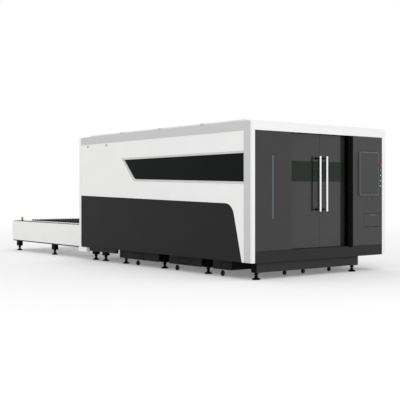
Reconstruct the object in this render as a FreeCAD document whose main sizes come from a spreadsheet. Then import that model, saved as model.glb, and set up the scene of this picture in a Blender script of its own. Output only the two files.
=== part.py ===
"""Enclosed fibre laser sheet cutter with an exchange table behind it.

Millimetres. +X runs to the right across the front, +Y back to the exchange table and +Z up.
The origin is on the floor, under the middle of the whole machine. Depths called "back" are
measured from the front cover plane.
"""
import FreeCAD, Part
import math
import os
import re

import Sketcher

SIZES = {
    # overall
    "total_long": 8078, "front_proud": 28, "case_wide": 2890, "case_long": 4865,
    "case_top": 2270, "case_low": 250,
    # sheet metal and running gaps
    "sheet_wall": 2.5, "seam": 4, "run_gap": 0.5, "shaft_gap": 0.05,
    # portals, bands and roof
    "band_high": 134, "portal_deep": 30, "post_left": 60, "post_right": 81,
    "side_post_end": 173, "side_frame_thick": 35, "rear_portal_deep": 68, "rear_post_wide": 68,
    "rear_post_low": 155, "foot_bar_long": 300, "foot_bar_high": 80, "foot_bar_proud": 30,
    "roof_rise": 30, "roof_pan_deep": 40, "roof_edge": 50, "roof_front": 180, "roof_rear": 4550,
    "roof_first": 984, "lug_long": 60, "lug_high": 26, "lug_thick": 12, "lug_hole": 8,
    # side panels and window
    "panel_set": 6, "panel_thick": 25, "split_near": 1078, "split_far": 1190,
    "slant_foot": 228, "slant_top": 440, "slant_high": 1085, "corner_round": 200,
    "glass_top": 1814, "glass_low_near": 1404, "glass_low_far": 1475, "glass_corner": 2997,
    "glass_tip": 3322, "glass_thick": 8, "glass_round": 150, "rim": 30, "rim_tip": 90,
    "rim_corner": 34, "rim_round": 180, "rim_thick": 14, "pane_lap": 10,
    # front covers
    "skirt_top": 410, "skirt_deep": 110, "skirt_lip": 20, "cover_set": 2, "cover_deep": 25, "door_left_edge": 779,
    "strip_left": 2006, "strip_right": 2112, "strip_low": 397, "console_deep": 70,
    "light_at": 404, "light_wide": 30, "light_low": 871, "light_high": 1786, "light_proud": 3,
    # doors
    "door_set": 84, "leaf_thick": 30, "leaf_lap": 36, "leaf_low": 418, "leaf_high": 2150,
    "pane_low": 1415, "pane_high": 1719, "pane_thick": 4, "pane_frame": 45,
    "handle_apart": 145, "handle_low": 963, "handle_high": 1798, "handle_dia": 38,
    "handle_off": 90, "handle_arm_in": 30, "handle_arm_dia": 18, "handle_flange_dia": 44,
    "handle_flange": 8, "track_deep": 44, "track_high": 44, "track_wall": 4,
    "hanger_in": 110, "hanger_dia": 10, "roller_long": 70, "roller_wide": 30,
    # console
    "screen_left": 2243, "screen_right": 2698, "screen_low": 1202, "screen_high": 1893,
    "screen_round": 34, "screen_rim": 14, "screen_proud": 24, "screen_deep": 48,
    "button_at": 2757, "button_top": 1692, "button_pitch": 84, "button_dia": 22, "cap_dia": 26,
    "cap_proud": 12, "collar_dia": 34, "collar_high": 5, "button_deep": 36,
    "stop_dia": 52,
    "flap_left": 2370, "flap_right": 2790, "flap_low": 700, "flap_high": 918, "flap_thick": 18,
    "pin_dia": 6, "pin_long": 32, "hinge_wide": 14,
    # bed
    "bed_offset": 235, "bed_half": 1075, "beam_wide": 200, "beam_low": 262, "beam_high": 800,
    "beam_wall": 12, "beam_front": 125, "beam_rear": 4420, "nose_front": 60, "nose_high": 398,
    "cross_long": 140, "cross_high": 93, "plate_low": 105, "plate_thick": 10,
    "notch_wide": 270, "notch_high": 130,
    # feet
    "foot_inset": 60, "pad_dia": 123, "pad_high": 12, "cone_dia": 60, "cone_high": 30,
    "stem_dia": 30, "stem_top": 160, "bracket_low": 100, "bracket_half": 40, "bracket_long": 130,
    # scrap trays
    "tray_plane": 95, "tray_apron": 5, "tray_low": 107, "tray_top": 245, "tray_long": 2110,
    "tray_sheet": 3, "tray_travel": 1.9, "wheel_dia": 75, "wheel_wide": 26, "fork_top": 107,
    # enclosure frame
    "tube": 60, "tube_low": 255,
    # gantry
    "rail_wide": 45, "rail_high": 40, "rail_front": 300, "rail_rear": 4380, "saddle_wide": 150,
    "saddle_long": 520, "saddle_high": 120, "gantry_at": 4080, "gantry_deep": 260,
    "gantry_high": 280, "gantry_wall": 10, "cross_rail": 34, "carriage_wide": 300,
    "carriage_thick": 50, "carriage_low": 900, "carriage_high": 1420, "head_wide": 160,
    "head_plate": 30, "head_low": 1010, "head_high": 1330, "head_dia": 96, "nozzle_tip": 760,
    "head_taper": 80, "nozzle_dia": 22,
    # pallets
    "pallet_half": 780, "pallet_long": 3100, "pallet_rear": 7870, "pallet_tube": 60,
    "pallet_deep": 80, "upper_top": 670, "level_step": 170, "slat_high": 80, "slat_up": 30,
    "slat_thick": 5, "slat_count": 30, "shelf_thick": 19.5, "shelf_lap": 45,
    "shelf_front": 800, "shelf_rear": 8000,
    # exchange table
    "table_front": 4480, "table_rear": 8034, "table_half": 1055, "table_beam": 180,
    "table_low": 205, "table_high": 628, "table_wall": 8, "cover_out": 1070, "cover_thick": 15,
    "cover_low": 228, "cover_high": 632, "strip_wide": 60,
    "cap_wide": 70, "cap_high": 24, "shaft_at": 7940, "shaft_high": 465, "shaft_dia": 40,
    "sprocket_dia": 120, "sprocket_wide": 14, "lamp_at": 7705, "lamp_dia": 52,
    "lamp_stem_dia": 42, "lamp_stem": 40, "lamp_high": 100,
    # cabinet
    "cabinet_left": 880, "cabinet_front": 710, "cabinet_long": 1230, "cabinet_wide": 460,
    "cabinet_high": 1900,
}

doc = FreeCAD.newDocument("LaserCutter")
sheet = doc.addObject("Spreadsheet::Sheet", "size")
for row, (alias, value) in enumerate(SIZES.items(), start=1):
    sheet.set(f"A{row}", alias)
    sheet.set(f"B{row}", str(value))
    sheet.setAlias(f"B{row}", alias)
doc.recompute()

NODES = []


def bound(words):
    """Lead each size's name in an expression with the sheet's name."""
    return re.sub(r"[a-z_]+", lambda w: f"size.{w[0]}" if w[0] in SIZES else w[0], str(words))


def number(words):
    """Work an expression out from the sheet."""
    return float(sheet.evalExpression(bound(words)))


# ---- places that several parts share, as expressions on the sheet ----
LEFT = "(-case_wide/2)"
RIGHT = "(case_wide/2)"
FRONT = "(front_proud - total_long/2)"
BED = "(-bed_offset)"
BAND = "(case_top - band_high)"


def back(depth):
    """Y of a depth behind the front cover plane."""
    return f"({FRONT} + {depth})"


def across(distance):
    """X of a distance to the right of the machine's left side."""
    return f"({LEFT} + {distance})"


CASE_REAR = back("case_long")
REAR_PORTAL = back("(case_long - rear_portal_deep)")
SIDE_INNER = "(case_wide/2 - side_frame_thick)"
COVER = back("cover_set")


# ---- makers ----
def named(thing, label):
    thing.Label = label
    return thing


def keep(thing, label):
    """Give a sub-part the name that its file takes."""
    NODES.append(named(thing, label))
    return thing


def place(thing, at, turn=None):
    """Bind a thing's place to the sheet and set its fixed turn."""
    if turn:
        thing.Placement.Rotation = FreeCAD.Rotation(FreeCAD.Vector(*turn[0]), turn[1])
    for axis, words in zip("xyz", at):
        thing.setExpression(f"Placement.Base.{axis}", bound(words))
    return thing


def box(x, y, z, label="block"):
    """Block between two corners, each side a pair of expressions."""
    block = named(doc.addObject("Part::Box", label), label)
    for side, (low, high) in zip(("Length", "Width", "Height"), (x, y, z)):
        block.setExpression(side, bound(f"({high}) - ({low})"))
    return place(block, [low for low, high in (x, y, z)])


TURNS = {"x": ((0, 1, 0), 90), "y": ((1, 0, 0), -90), "z": None}


def rod(axis, at, radius, long, label="rod"):
    """Round bar that starts at a point and runs along +X, +Y or +Z."""
    bar = named(doc.addObject("Part::Cylinder", label), label)
    bar.setExpression("Radius", bound(radius))
    bar.setExpression("Height", bound(long))
    return place(bar, at, TURNS[axis])


def cut(base, *tools, label="cut"):
    """Base with every tool taken out of it."""
    result = named(doc.addObject("Part::Cut", label), label)
    result.Base = base
    result.Tool = tools[0] if len(tools) == 1 else group(tools, "tools")
    return result


def fuse(parts, label="weld"):
    result = named(doc.addObject("Part::MultiFuse", label), label)
    result.Shapes = list(parts)
    result.Refine = True
    return result


def group(parts, label="set"):
    """Separate solids of one kind, kept apart."""
    result = named(doc.addObject("Part::Compound", label), label)
    result.Links = list(parts)
    return result


PLANES = {"x": "YZ_Plane", "y": "XZ_Plane", "z": "XY_Plane"}


def sketch_on(body, plane, loops, offset="0", label="sketch"):
    """Closed straight-sided loops, every corner held to the origin by the sheet."""
    sketch = body.newObject("Sketcher::SketchObject", label)
    origin = next(item for item in body.Origin.OriginFeatures if item.Role == plane)
    sketch.AttachmentSupport = [(origin, "")]
    sketch.MapMode = "FlatFace"
    sketch.setExpression("AttachmentOffset.Base.z", bound(offset))
    for loop in loops:
        first = sketch.GeometryCount
        points = [FreeCAD.Vector(number(a), number(b), 0) for a, b in loop]
        count = len(points)
        for i in range(count):
            sketch.addGeometry(Part.LineSegment(points[i], points[(i + 1) % count]), False)
        for i in range(count):
            ends = (first + i, 2, first + (i + 1) % count, 1)
            sketch.addConstraint(Sketcher.Constraint("Coincident", *ends))
        for i, corner in enumerate(loop):
            for kind, words in zip(("DistanceX", "DistanceY"), corner):
                rule = Sketcher.Constraint(kind, -1, 1, first + i, 1, number(words))
                place_held = sketch.addConstraint(rule)
                sketch.setExpression(f"Constraints[{place_held}]", bound(words))
    return sketch


def prism(axis, low, high, loops, label="plate"):
    """Padded outline between two places along an axis, as a body with its pad."""
    body = named(doc.addObject("PartDesign::Body", label), label)
    offset = f"-({high})" if axis == "y" else low
    sketch = sketch_on(body, PLANES[axis], loops, offset)
    pad = body.newObject("PartDesign::Pad", "Pad")
    pad.Profile = sketch
    pad.setExpression("Length", bound(f"({high}) - ({low})"))
    doc.recompute()
    return body


def flat(vector, axis):
    return [component for name, component in zip("xyz", vector) if name != axis]


def soften(body, axis, corners, radius, kind="Fillet"):
    """Round or bevel the edges along an axis that pass through some corners of the outline."""
    solid = body.Tip
    wanted = [[number(a), number(b)] for a, b in corners]
    edges = []
    for i, edge in enumerate(solid.Shape.Edges, start=1):
        ends = [flat(vertex.Point, axis) for vertex in edge.Vertexes]
        if len(ends) == 2 and math.dist(ends[0], ends[1]) < 0.01:
            if any(math.dist(ends[0], corner) < 0.01 for corner in wanted):
                edges.append(f"Edge{i}")
    feature = body.newObject(f"PartDesign::{kind}", kind)
    feature.Base = (solid, edges)
    feature.setExpression("Radius" if kind == "Fillet" else "Size", bound(radius))
    body.Tip = feature
    doc.recompute()
    return body


def end_face(shape, axis, place_words):
    """Name of the largest flat face square to an axis at one place along it."""
    index = "xyz".index(axis)
    target = number(place_words)
    best = (0, "")
    for i, face in enumerate(shape.Faces, start=1):
        box_of = face.BoundBox
        low = (box_of.XMin, box_of.YMin, box_of.ZMin)[index]
        high = (box_of.XMax, box_of.YMax, box_of.ZMax)[index]
        if abs(low - target) < 0.01 and abs(high - target) < 0.01:
            best = max(best, (face.Area, f"Face{i}"))
    return best[1]


def hollow(body, axis, open_at, wall="sheet_wall"):
    """Fold a pan out of a body: an even wall inside it, open at one face."""
    solid = body.Tip
    feature = body.newObject("PartDesign::Thickness", "Thickness")
    feature.Base = (solid, [end_face(solid.Shape, axis, open_at)])
    feature.setExpression("Value", bound(wall))
    feature.Reversed = True
    body.Tip = feature
    doc.recompute()
    return body


def rectangle(x, y):
    return [(x[0], y[0]), (x[0], y[1]), (x[1], y[1]), (x[1], y[0])]


def pan(axis, low, high, outline, open_at, rounds=None, label="pan"):
    """Folded cover: an outline between two places, open at one of them."""
    body = prism(axis, low, high, [outline], label)
    if rounds:
        soften(body, axis, *rounds)
    return hollow(body, axis, open_at)


def turned(profile, at, turn=None, label="turned"):
    """Profile of (radius, length) corners revolved about its own axis, then placed."""
    body = named(doc.addObject("PartDesign::Body", label), label)
    sketch = sketch_on(body, "XZ_Plane", [profile])
    spin = body.newObject("PartDesign::Revolution", "Revolution")
    spin.Profile = sketch
    spin.ReferenceAxis = (sketch, ["V_Axis"])
    spin.Angle = 360
    doc.recompute()
    return place(body, at, turn)


TO_FRONT = ((1, 0, 0), 90)


# ---- bed ----
FOOT_DEPTHS = (127, 1224, 2377, 3547, 4230)
TABLE_FOOT_DEPTHS = (4579, 6194, 7805)
TRAYS = {
    "front": {"apron": (550, 988), "tub": (554, 984),
              "casters": ((55, 822), (885, 360), (1278, 360), (1856, 360), (1105, 900), (2055, 900))},
    "middle": {"apron": (1262, 2119), "tub": (1294, 2115),
               "casters": ((55, 1967), (1105, 1360), (1105, 2050), (2055, 1360), (2055, 2050))},
    "rear": {"apron": (2403, 3600), "tub": (2446, 3478),
             "casters": ((55, 3103), (1105, 2510), (1105, 3415), (2055, 2510), (2055, 3415))},
}
TRAY_STEP = {"near": 320, "left": 400, "right": 2000}
CROSS_DEPTHS = (200, 1290, 2450, 3620)


def bed_sides(sign):
    """Outer and inner X of the bed's side beam, lowest first."""
    outer = f"({BED} + {sign}*bed_half)"
    inner = f"({BED} + {sign}*(bed_half - beam_wide))"
    return (outer, inner) if sign < 0 else (inner, outer)


def bed_beams():
    """Two box beams with a low nose at the front, open inside from their rear end."""
    beams = []
    for sign in (-1, 1):
        low, high = bed_sides(sign)
        outline = [
            (back("nose_front"), "beam_low"), (back("nose_front"), "nose_high"),
            (back("beam_front"), "nose_high"), (back("beam_front"), "beam_high"),
            (back("beam_rear"), "beam_high"), (back("beam_rear"), "beam_low"),
        ]
        beam = prism("x", low, high, [outline], "beam")
        inside = box((f"{low} + beam_wall", f"{high} - beam_wall"),
                     (back("(beam_front + beam_wall)"), back("(beam_rear + beam_wall)")),
                     ("beam_low + beam_wall", "beam_high - beam_wall"))
        beams.append(cut(beam, inside))
    keep(group(beams), "bed_beams")


def bed_cross_beams():
    """Box tubes across the bed between its side beams."""
    beams = []
    for depth in CROSS_DEPTHS:
        y = (back(depth), back(f"({depth} + cross_long)"))
        x = (bed_sides(-1)[1], bed_sides(1)[0])
        z = ("beam_low", "beam_low + cross_high")
        inside = box(x, (f"{y[0]} + table_wall", f"{y[1]} - table_wall"),
                     (f"{z[0]} + table_wall", f"{z[1]} - table_wall"))
        beams.append(cut(box(x, y, z), inside))
    keep(group(beams), "bed_cross_beams")


def bed_plates():
    """Dark plates that hang below the covers: one across the front, one along the right side."""
    front = box((f"{BED} - bed_half + plate_thick", f"{BED} + bed_half"),
                (back("(nose_front - plate_thick)"), back("nose_front")),
                ("plate_low", "nose_high - plate_thick"))
    side_x = (f"{BED} + bed_half", f"{BED} + bed_half + plate_thick")
    side = box(side_x, (back("nose_front"), back("3600")), ("plate_low", "beam_low + cross_high"))
    notches = [box((f"{side_x[0]} - 1", f"{side_x[1]} + 1"),
                   (back(f"({depth} - notch_wide/2)"), back(f"({depth} + notch_wide/2)")),
                   ("plate_low - 1", "plate_low + notch_high")) for depth in FOOT_DEPTHS[1:4]]
    keep(group([front, cut(side, *notches)]), "bed_plates")


def feet_places():
    """X and Y of every foot, with the underside that its bracket meets."""
    offset = "(bed_half - foot_inset)"
    for sign in (-1, 1):
        for depth in FOOT_DEPTHS:
            yield f"({BED} + {sign}*{offset})", back(depth), "beam_low"
        for depth in TABLE_FOOT_DEPTHS:
            yield f"({BED} + {sign}*{offset})", back(depth), "table_low"


def feet():
    """Levelling feet: a turned pad and stem in a block bracket under each beam."""
    profile = [
        ("0", "0"), ("pad_dia/2", "0"), ("pad_dia/2", "pad_high"), ("cone_dia/2", "cone_high"),
        ("stem_dia/2", "cone_high + 6"), ("stem_dia/2", "stem_top"), ("0", "stem_top"),
    ]
    stands, brackets = [], []
    for x, y, top in feet_places():
        stands.append(turned(profile, (x, y, "0"), label="stand"))
        block = box((f"{x} - bracket_half", f"{x} + bracket_half"),
                    (f"{y} - bracket_long/2", f"{y} + bracket_long/2"), ("bracket_low", top))
        bore = rod("z", (x, y, "bracket_low - 1"), "stem_dia/2 + shaft_gap",
                   "stem_top - bracket_low + 1 + shaft_gap")
        brackets.append(cut(block, bore))
    keep(group(stands), "levelling_feet")
    keep(group(brackets), "foot_brackets")


def tub_outline(name, near, far):
    """Plan of a tray's tub; the front one reaches further forward between the feet."""
    left, right = f"({across('tray_plane')} + tray_apron)", across("(tray_plane + tray_long)")
    outline = [(left, back(near)), (left, back(far)), (right, back(far)), (right, back(near))]
    if name == "front":
        step_right = across(f"(tray_plane + {TRAY_STEP['right']})")
        step_left = across(f"(tray_plane + {TRAY_STEP['left']})")
        step_near = back(TRAY_STEP["near"])
        outline += [(step_right, back(near)), (step_right, step_near), (step_left, step_near),
                    (step_left, back(near))]
    return outline


def scrap_tray(name, apron_span, tub_span):
    """Open tray with an apron at its left end, on casters, that pulls out to the left."""
    tub = prism("z", "tray_low", "tray_top - 5", [tub_outline(name, *tub_span)])
    tray = hollow(tub, "z", "tray_top - 5", "tray_sheet")
    plane = across("tray_plane")
    apron = box((plane, f"{plane} + tray_apron"), [back(depth) for depth in apron_span],
                ("plate_low", "tray_top"))
    keep(fuse([tray, apron]), f"scrap_tray_{name}")


def tray_casters(name, places):
    """Casters under a tray, each a plate, two cheeks and a wheel on its pin."""
    casters = []
    half = "wheel_wide/2"
    for along, depth in places:
        x, y = across(f"(tray_plane + {along})"), back(depth)
        axis = "wheel_dia/2 + run_gap"
        wheel = rod("y", (x, f"{y} - {half}", axis), "wheel_dia/2", "wheel_wide")
        pin = rod("y", (x, f"{y} - {half} - 6", axis), "8", "wheel_wide + 12")
        cheeks = box((f"{x} - 24", f"{x} + 24"), (f"{y} - {half} - 6", f"{y} + {half} + 6"),
                     ("wheel_dia/2 - 12", "fork_top"))
        gap = box((f"{x} - 60", f"{x} + 60"), (f"{y} - {half} - 1", f"{y} + {half} + 1"),
                  ("0", "wheel_dia + 8"))
        casters.append(fuse([cut(cheeks, gap), pin, wheel]))
    keep(group(casters), f"tray_casters_{name}")


# ---- enclosure ----
def enclosure_frame():
    """Square tubes behind the covers: posts, side rails, cross rails and outriggers."""
    outer_left = f"(-{SIDE_INNER} + 1)"
    inner_left = f"({outer_left} + tube)"
    sides = ((outer_left, inner_left), (f"-{inner_left}", f"-{outer_left}"))
    top = (f"{BAND} + 64", f"{BAND} + 124")
    span = (back("beam_front"), REAR_PORTAL)
    tubes = []
    for x in sides:
        tubes.append(box(x, span, ("tube_low", "tube_low + tube")))
        tubes.append(box(x, span, top))
        for depth in ("beam_front", "1700", "3420", "(case_long - rear_portal_deep - tube)"):
            tubes.append(box(x, (back(depth), back(f"({depth} + tube)")), ("tube_low + tube", top[0])))
    for depth in ("beam_front", "roof_front + roof_first", "3425", "roof_rear"):
        tubes.append(box((inner_left, f"-{inner_left}"),
                         (back(depth), back(f"({depth} + tube)")), top))
    for depth in ("700", "1900", "3300"):
        y = (back(depth), back(f"({depth} + tube)"))
        tubes.append(box((inner_left, f"{BED} - bed_half"), y, ("tube_low + 10", "tube_low + tube")))
        tubes.append(box((f"{BED} + bed_half + plate_thick", f"-{inner_left}"), y,
                         ("tube_low", "tube_low + tube")))
    tubes.append(box(sides[0], (back("3650"), back("4540")), ("tube_low - 80", "tube_low")))
    keep(group(tubes), "enclosure_frame")


def front_portal():
    """White folded frame round the front: two posts and the top band."""
    outline = [
        (LEFT, "case_low"), (LEFT, "case_top"), (RIGHT, "case_top"), (RIGHT, "case_low"),
        (f"{RIGHT} - post_right", "case_low"), (f"{RIGHT} - post_right", BAND),
        (across("post_left"), BAND), (across("post_left"), "case_low"),
    ]
    keep(pan("y", FRONT, back("portal_deep"), outline, back("portal_deep")), "front_portal")


def side_places(sign, depth_from, depth_to):
    """Low and high X of a cover on one side, by depth in from the outside."""
    if sign < 0:
        return across(depth_from), across(depth_to)
    return f"({RIGHT} - {depth_to})", f"({RIGHT} - {depth_from})"


def side_frames():
    """Grey folded frame of each side: the front post and the band above the panels."""
    frames = []
    for sign in (-1, 1):
        low, high = side_places(sign, "0", "side_frame_thick")
        near, far = back("portal_deep"), REAR_PORTAL
        outline = [
            (near, "case_low"), (near, "case_top"), (far, "case_top"), (far, BAND),
            (back("side_post_end"), BAND), (back("side_post_end"), "case_low"),
        ]
        frames.append(pan("x", low, high, outline, high if sign < 0 else low))
    keep(group(frames), "side_frames")


def rear_portal():
    """White frame round the back, with a foot bar under each post."""
    inner = "rear_post_wide"
    outline = [
        (LEFT, "rear_post_low"), (LEFT, "case_top"), (RIGHT, "case_top"), (RIGHT, "rear_post_low"),
        (f"{RIGHT} - {inner}", "rear_post_low"), (f"{RIGHT} - {inner}", BAND),
        (across(inner), BAND), (across(inner), "rear_post_low"),
    ]
    frame = prism("y", REAR_PORTAL, CASE_REAR, [outline], "frame")
    bars = []
    for sign in (-1, 1):
        x = side_places(sign, "0", inner)
        end = back("(case_long + foot_bar_proud)")
        bars.append(box(x, (f"{end} - foot_bar_long", end),
                        ("rear_post_low", "rear_post_low + foot_bar_high")))
    keep(fuse([frame] + bars), "rear_portal")


def rear_wall():
    """White pan inside the rear portal with the doorway that the exchange table enters."""
    low, high = REAR_PORTAL, f"{REAR_PORTAL} + panel_thick"
    left, right = across("rear_post_wide"), f"({RIGHT} - rear_post_wide)"
    door = (f"({BED} - cover_out - 12)", f"({BED} + cover_out + 12)")
    outline = [
        (left, "case_low"), (left, BAND), (right, BAND), (right, "case_low"),
        (door[1], "case_low"), (door[1], "upper_top + 130"), (door[0], "upper_top + 130"),
        (door[0], "case_low"),
    ]
    keep(pan("y", f"{low} + 20", f"{high} + 20", outline, f"{low} + 20"), "rear_wall")


def roof_panels():
    """Four raised roof pans side by side and a low filler at each end."""
    seams = ["roof_front", "roof_front + roof_first", "2289", "3425", "roof_rear"]
    x = (across("roof_edge"), f"({RIGHT} - roof_edge)")
    top = "case_top + roof_rise"
    pans = []
    for near, far in zip(seams, seams[1:]):
        outline = rectangle(x, (back(f"({near}) + 2"), back(f"({far}) - 2")))
        pans.append(pan("z", f"{top} - roof_pan_deep", top, outline, f"{top} - roof_pan_deep"))
    for near, far in (("portal_deep", "roof_front"), ("roof_rear", "case_long - rear_portal_deep")):
        outline = rectangle(x, (back(f"({near}) + 2"), back(f"({far}) - 2")))
        pans.append(pan("z", f"{BAND} + 124.5", "case_top - 2", outline, f"{BAND} + 124.5"))
    keep(group(pans), "roof_panels")


def roof_lugs():
    """Lifting lugs on the side bands at the seams of the roof."""
    lugs = []
    for sign in (-1, 1):
        x = side_places(sign, "10", "(10 + lug_thick)")
        for depth in ("roof_front + roof_first", "2289", "3425"):
            y = back(f"({depth})")
            body = prism("x", *x, [rectangle((f"{y} - lug_long/2", f"{y} + lug_long/2"),
                                             ("case_top", "case_top + lug_high"))])
            tops = [(f"{y} - lug_long/2", "case_top + lug_high"),
                    (f"{y} + lug_long/2", "case_top + lug_high")]
            soften(body, "x", tops, "lug_high/2")
            hole = rod("x", (f"{x[0]} - 1", y, "case_top + lug_high/2"), "lug_hole/2", "lug_thick + 2")
            lugs.append(cut(body, hole))
    keep(group(lugs), "roof_lugs")


# ---- side panels ----
NEAR = back("side_post_end")
RIM_LOW_NEAR = "(glass_low_near - rim - 2)"
RIM_LOW_FAR = "(glass_low_far - rim - 2)"
RIM_TIP = back("(glass_tip + rim_tip)")
RIM_CORNER = back("(glass_corner + rim_corner)")
SLANT = [(back("slant_foot"), "case_low"), (back("slant_top"), "slant_high")]


def lower_outline():
    return [SLANT[0], SLANT[1], (REAR_PORTAL, "split_far"), (REAR_PORTAL, "case_low")]


def upper_outline(windowed):
    """White panel: its lower edge follows the dark panel a seam away, round the window rim."""
    slant_in = [(back("(slant_foot - seam)"), "case_low"),
                (back("(slant_top - seam)"), "slant_high + seam")]
    outline = [slant_in[0], slant_in[1], (REAR_PORTAL, "split_far + seam"), (REAR_PORTAL, BAND),
               (NEAR, BAND)]
    if windowed:
        outline += [
            (NEAR, "glass_top + rim + 1"), (f"{RIM_TIP} + 2", "glass_top + rim + 1"),
            (f"{RIM_CORNER} + 1", f"{RIM_LOW_FAR} - 1"), (NEAR, f"{RIM_LOW_NEAR} - 1"),
        ]
    return outline + [(NEAR, "case_low")]


def side_panels(side, sign):
    """Upper and lower cover of one side."""
    low, high = side_places(sign, "panel_set", "(panel_set + panel_thick)")
    open_at = high if sign < 0 else low
    windowed = sign < 0
    upper = prism("x", low, high, [upper_outline(windowed)], "upper")
    corner = (back("(slant_top - seam)"), "slant_high + seam")
    soften(upper, "x", [corner], "corner_round + seam")
    if windowed:
        soften(upper, "x", [(f"{RIM_CORNER} + 1", f"{RIM_LOW_FAR} - 1")], "rim_round")
    keep(hollow(upper, "x", open_at), f"upper_panel_{side}")
    lower = pan("x", low, high, lower_outline(), open_at, ([SLANT[1]], "corner_round"))
    keep(lower, f"lower_panel_{side}")


def glass_outline(grow="0"):
    """Window opening with its raked far end, grown by the lap of a pane behind it."""
    return [
        (NEAR, f"glass_low_near - {grow}"), (NEAR, f"glass_top + {grow}"),
        (back(f"(glass_tip + 2.4*{grow})"), f"glass_top + {grow}"),
        (back(f"(glass_corner + 0.4*{grow})"), f"glass_low_far - {grow}"),
    ]


def window():
    """Light rim of the side window and the dark pane that laps behind it."""
    outer = [(NEAR, RIM_LOW_NEAR), (NEAR, "glass_top + rim"), (RIM_TIP, "glass_top + rim"),
             (RIM_CORNER, RIM_LOW_FAR)]
    low = across("(panel_set - 2)")
    rim = prism("x", low, f"{low} + rim_thick", [outer], "rim")
    soften(rim, "x", [outer[3]], "rim_round")
    inner = glass_outline()
    hole = prism("x", f"{low} - 1", f"{low} + rim_thick + 1", [[(f"{inner[0][0]} - 1", inner[0][1]),
                 (f"{inner[1][0]} - 1", inner[1][1]), inner[2], inner[3]]], "hole")
    soften(hole, "x", [inner[3]], "glass_round")
    keep(cut(rim, hole), "window_frame_left")
    pane = glass_outline("pane_lap")
    glass = prism("x", f"{low} + rim_thick", f"{low} + rim_thick + glass_thick", [pane], "pane")
    soften(glass, "x", [pane[3]], "glass_round")
    keep(glass, "window_glass_left")


# ---- front covers ----
def front_fixed_panel():
    outline = rectangle((across("post_left"), across("door_left_edge")), ("skirt_top + seam", BAND))
    body = pan("y", COVER, f"{COVER} + cover_deep", outline, f"{COVER} + cover_deep")
    keep(body, "front_fixed_panel")


def light_strip():
    """Slim status light on the fixed panel."""
    x = (across("(light_at - light_wide/2)"), across("(light_at + light_wide/2)"))
    body = prism("z", "light_low", "light_high", [rectangle(x, (f"{COVER} - light_proud", COVER))])
    corners = [(side, f"{COVER} - light_proud") for side in x]
    keep(soften(body, "z", corners, "light_proud/2"), "light_strip")


def front_skirt():
    """Folded cover below the doors whose top is the ledge that they pass over."""
    front, wall = COVER, f"({COVER} + sheet_wall)"
    outline = [
        (front, "case_low"), (front, "skirt_top"), (f"{front} + skirt_deep", "skirt_top"),
        (f"{front} + skirt_deep", "skirt_top - sheet_wall"), (wall, "skirt_top - sheet_wall"),
        (wall, "case_low + sheet_wall"), (f"{front} + skirt_lip", "case_low + sheet_wall"),
        (f"{front} + skirt_lip", "case_low"),
    ]
    x = (across("post_left"), f"({RIGHT} - post_right)")
    keep(prism("x", *x, [outline]), "front_skirt")


STRIP_X = (across("strip_left"), across("strip_right"))


def black_trim():
    """Black folded strip between the doors and the console, with its return into the reveal."""
    reveal = back("(door_set - pane_thick - 2)")
    face = box(STRIP_X, (back("(-1)"), back("1.5")), ("strip_low", BAND))
    side = box((STRIP_X[0], f"{STRIP_X[0]} + sheet_wall"), (back("(-1)"), reveal),
               ("skirt_top + seam", BAND))
    keep(fuse([face, side]), "black_trim")


SCREEN_X = (across("screen_left"), across("screen_right"))
FLAP_X = (across("flap_left"), across("flap_right"))
BUTTON_X = across("button_at")


FLAP_HINGE = (f"({COVER} + flap_thick/2)", "(flap_low + seam + flap_thick/2)")


def button_height(index):
    return f"(button_top - {index}*button_pitch)"


def control_panel():
    """Folded console cover with openings for the screen, the buttons and the keyboard flap."""
    x = (STRIP_X[1], f"({RIGHT} - post_right)")
    body = pan("y", COVER, back("console_deep"), rectangle(x, ("skirt_top + seam", BAND)),
               back("console_deep"))
    y = (f"{COVER} - 1", f"{COVER} + sheet_wall + 1")
    tools = [screen_block(y, "run_gap"), box(FLAP_X, y, ("flap_low", "flap_high"))]
    for index in range(5):
        tools.append(rod("y", (BUTTON_X, y[0], button_height(index)), "button_dia/2 + 1",
                         "sheet_wall + 2"))
    blocks = []
    for low, high in ((f"{FLAP_X[0]} - hinge_wide", FLAP_X[0]), (FLAP_X[1], f"{FLAP_X[1]} + hinge_wide")):
        block = box((low, high), (f"{COVER} + sheet_wall", f"{COVER} + flap_thick"),
                    ("flap_low + seam", "flap_low + seam + flap_thick"))
        bore = rod("x", (f"{low} - 1", FLAP_HINGE[0], FLAP_HINGE[1]), "pin_dia/2 + shaft_gap",
                   "hinge_wide + 2")
        blocks.append(cut(block, bore))
    keep(fuse([cut(body, *tools)] + blocks), "control_panel")


def screen_block(y, grow, rim="0"):
    """Rounded portrait block as large as the operator screen, grown or drawn in by its rim."""
    x = (f"{SCREEN_X[0]} - {grow} + {rim}", f"{SCREEN_X[1]} + {grow} - {rim}")
    z = (f"screen_low - {grow} + {rim}", f"screen_high + {grow} - {rim}")
    body = prism("y", y[0], y[1], [rectangle(x, z)], "screen")
    corners = [(a, b) for a in x for b in z]
    return soften(body, "y", corners, f"screen_round + {grow} - {rim}")


def operator_screen():
    """Panel computer with a raised rim round its display."""
    y = (back("(-screen_proud)"), back("screen_deep"))
    recess = screen_block((back("(-screen_proud - 1)"), back("(3 - screen_proud)")), "0", "screen_rim")
    keep(cut(screen_block(y, "0"), recess), "operator_screen")


def button_collars():
    """Ring round each push button and the stop button, clamped on the console cover."""
    profile = [
        ("button_dia/2 + run_gap", "0"), ("collar_dia/2", "0"),
        ("collar_dia/2 - 1", "collar_high"), ("button_dia/2 + run_gap", "collar_high"),
    ]
    rings = [turned(profile, (BUTTON_X, COVER, button_height(i)), TO_FRONT) for i in range(5)]
    keep(group(rings), "button_collars")


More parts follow.
